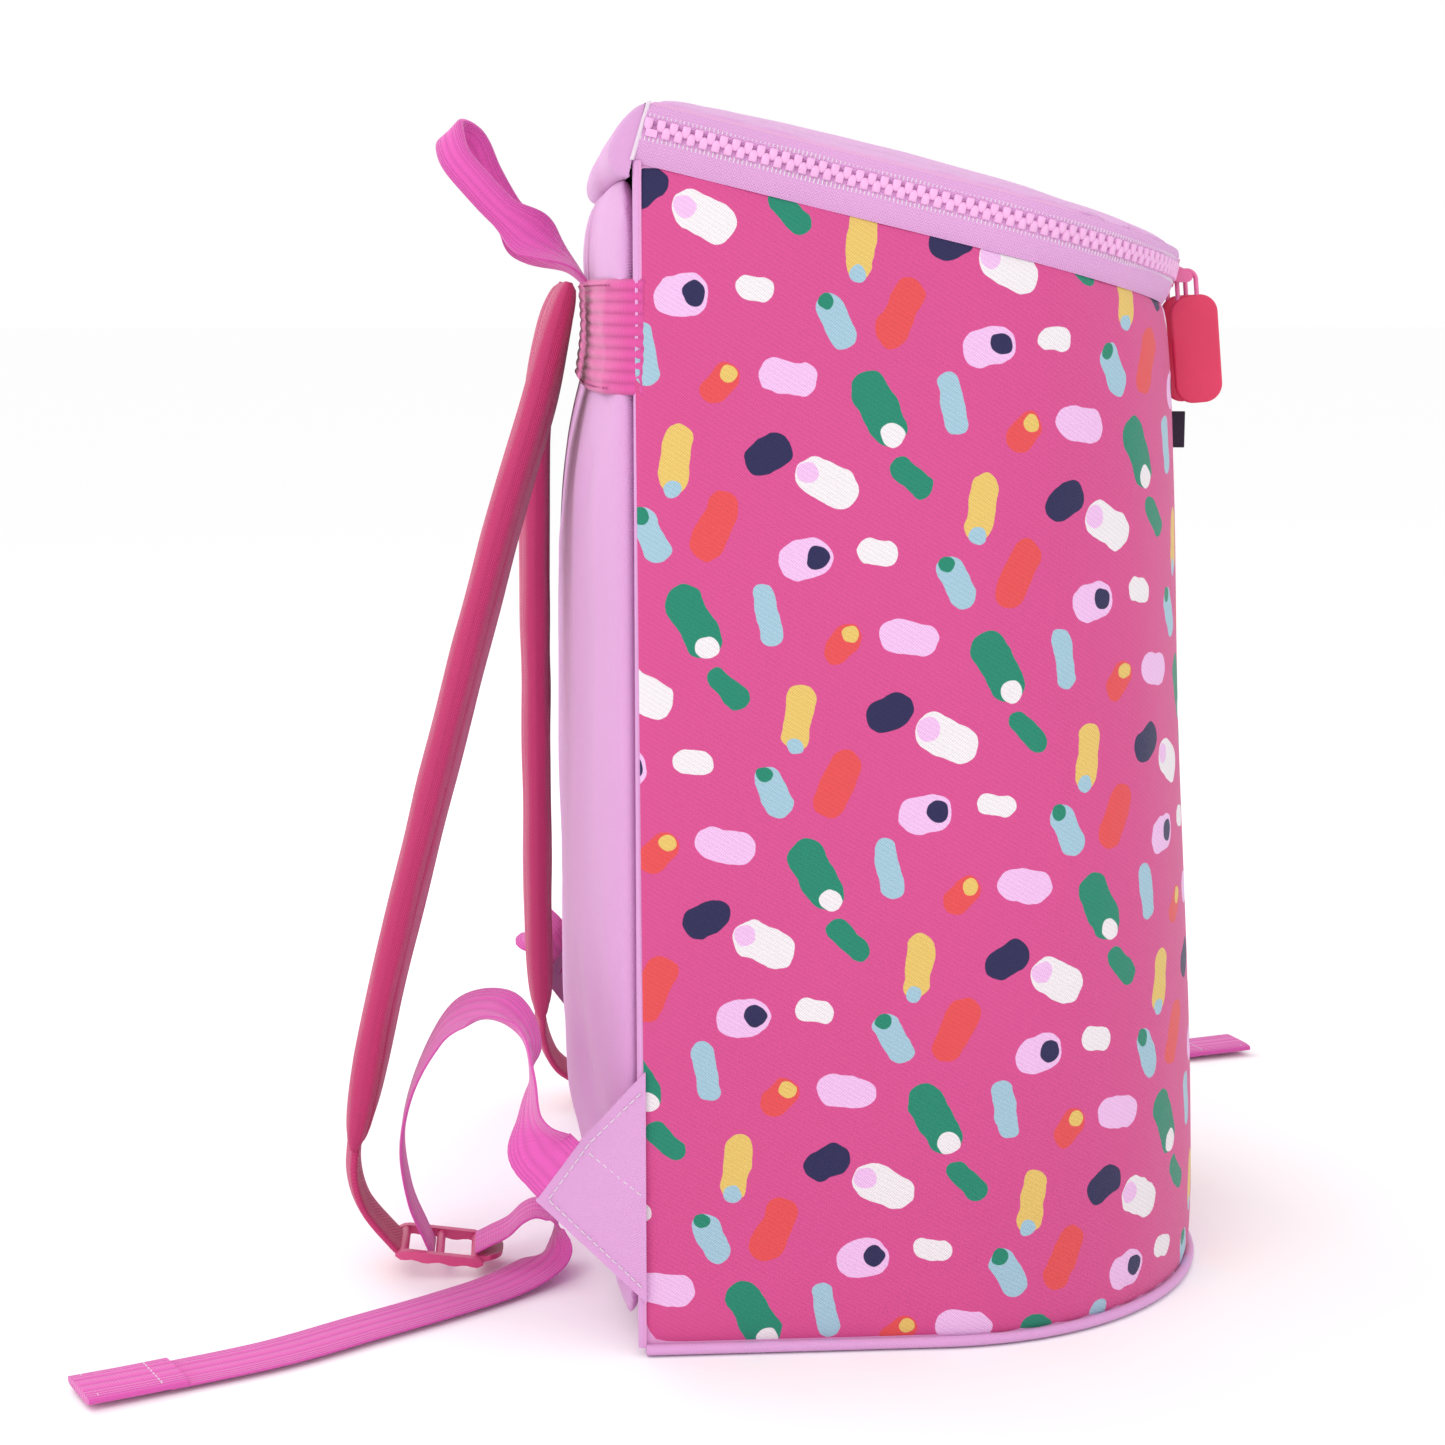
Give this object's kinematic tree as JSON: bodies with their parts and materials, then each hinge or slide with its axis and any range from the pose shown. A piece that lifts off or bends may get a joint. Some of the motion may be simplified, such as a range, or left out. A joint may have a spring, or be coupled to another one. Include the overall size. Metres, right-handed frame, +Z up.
{
  "type": "school backpack",
  "caption": "Tall child's school backpack with a sloping zipped lid, padded back, grab handle and two padded straps with ladder-lock adjusters.",
  "frame": {"origin": "centre of the base, on the surface that the bag stands on", "axes": "+X to the wearer's right, +Y out of the padded back panel, -Y out of the front, +Z up"},
  "size_m": [0.4381, 0.5365, 0.4546],
  "materials": {
    "print_cloth": "printed canvas weave",
    "pale_cloth": "pale pink canvas weave",
    "lining_cloth": "smooth woven lining",
    "strap_cloth": "crimson pink twill",
    "webbing": "orchid ribbed webbing",
    "zip_tape": "fine knitted tape",
    "zip_plastic": "moulded teeth, satin",
    "slider_metal": "pink enamel",
    "puller_rubber": "soft matt rubber",
    "buckle_plastic": "moulded plastic, satin",
    "label_cloth": "dark woven tab",
    "foam": "open cell foam",
    "board": "stiff plastic board"
  },
  "bodies": {
    "bag": {"main_panel": "print_cloth", "main_lining": "lining_cloth", "back_panel": "pale_cloth", "back_foam": "foam", "back_lining": "lining_cloth", "bottom_panel": "pale_cloth", "bottom_board": "board", "bottom_piping": "pale_cloth", "front_label": "label_cloth", "lower_zip_tape": "zip_tape", "lower_zip_teeth": "zip_plastic", "zip_end_stops": "zip_plastic", "anchor_band": "webbing", "gusset_left": "pale_cloth", "gusset_right": "pale_cloth", "lid_back_strip": "pale_cloth"},
    "lid": {"lid_panel": "pale_cloth", "lid_foam": "foam", "lid_lining": "lining_cloth", "upper_zip_tape": "zip_tape", "upper_zip_teeth": "zip_plastic"},
    "slider_left": {"slider_left": "slider_metal"},
    "slider_right": {"slider_right": "slider_metal"},
    "puller_left": {"pull_loop_left": "slider_metal", "puller_tag_left": "puller_rubber"},
    "puller_right": {"pull_loop_right": "slider_metal", "puller_tag_right": "puller_rubber"},
    "handle": {"grab_handle": "webbing"},
    "strap_left": {"strap_top_left": "strap_cloth", "strap_foam_left": "foam", "strap_under_left": "strap_cloth", "strap_tab_left": "strap_cloth", "webbing_left": "webbing"},
    "buckle_left": {"buckle_left": "buckle_plastic"},
    "tail_left": {"tail_left": "webbing", "tail_end_left": "webbing"},
    "strap_right": {"strap_top_right": "strap_cloth", "strap_foam_right": "foam", "strap_under_right": "strap_cloth", "strap_tab_right": "strap_cloth", "webbing_right": "webbing"},
    "buckle_right": {"buckle_right": "buckle_plastic"},
    "tail_right": {"tail_right": "webbing", "tail_end_right": "webbing"}
  },
  "joints": [
    {"name": "lid_hinge", "type": "hinge", "parent": "bag", "child": "lid", "pos_m": [0, 0.11311, 0.45142], "axis": [-1, 0, 0], "range_deg": [0, 110]},
    {"name": "slider_left_travel", "type": "hinge", "parent": "bag", "child": "slider_left", "pos_m": [-0.055, 0.00238, 0.4162], "axis": [0, 0.2334, -0.9724], "range_deg": [0, 78]},
    {"name": "slider_right_travel", "type": "slide", "parent": "bag", "child": "slider_right", "axis": [1, 0, 0], "range_m": [0, 0.096]},
    {"name": "puller_left_swing", "type": "hinge", "parent": "slider_left", "child": "puller_left", "pos_m": [-0.06755, -0.09703, 0.39234], "axis": [-0.9925, 0.1185, 0.0284], "range_deg": [0, 95]},
    {"name": "puller_right_swing", "type": "hinge", "parent": "slider_right", "child": "puller_right", "pos_m": [-0.048, -0.09778, 0.39216], "axis": [-1, 0, 0], "range_deg": [0, 95]},
    {"name": "handle_swing", "type": "hinge", "parent": "bag", "child": "handle", "pos_m": [0, 0.133, 0.393], "axis": [1, 0, 0], "range_deg": [-100, 35], "stiffness_Nm_per_rad": 0.1},
    {"name": "strap_left_swing", "type": "hinge", "parent": "bag", "child": "strap_left", "pos_m": [-0.062, 0.1305, 0.3905], "axis": [1, 0, 0], "range_deg": [0, 25]},
    {"name": "buckle_left_tilt", "type": "hinge", "parent": "strap_left", "child": "buckle_left", "pos_m": [-0.051, 0.2064, 0.0108], "axis": [1, 0, 0], "range_deg": [-12, 12]},
    {"name": "tail_left_drag", "type": "hinge", "parent": "strap_left", "child": "tail_left", "pos_m": [-0.051, 0.164, 0.008], "axis": [1, 0, 0], "range_deg": [-26, 1]},
    {"name": "strap_right_swing", "type": "hinge", "parent": "bag", "child": "strap_right", "pos_m": [0.062, 0.1305, 0.3905], "axis": [1, 0, 0], "range_deg": [0, 25]},
    {"name": "buckle_right_tilt", "type": "hinge", "parent": "strap_right", "child": "buckle_right", "pos_m": [0.172, 0.1254, 0.0088], "axis": [1, 0, 0], "range_deg": [-12, 12]},
    {"name": "tail_right_drag", "type": "hinge", "parent": "strap_right", "child": "tail_right", "pos_m": [0.172, 0.078, 0.004], "axis": [1, 0, 0], "range_deg": [-26, 1]}
  ],
  "couplings": [
    {"joint": "tail_left_drag", "follows": "strap_left_swing", "ratio": -1},
    {"joint": "tail_right_drag", "follows": "strap_right_swing", "ratio": -1}
  ]
}
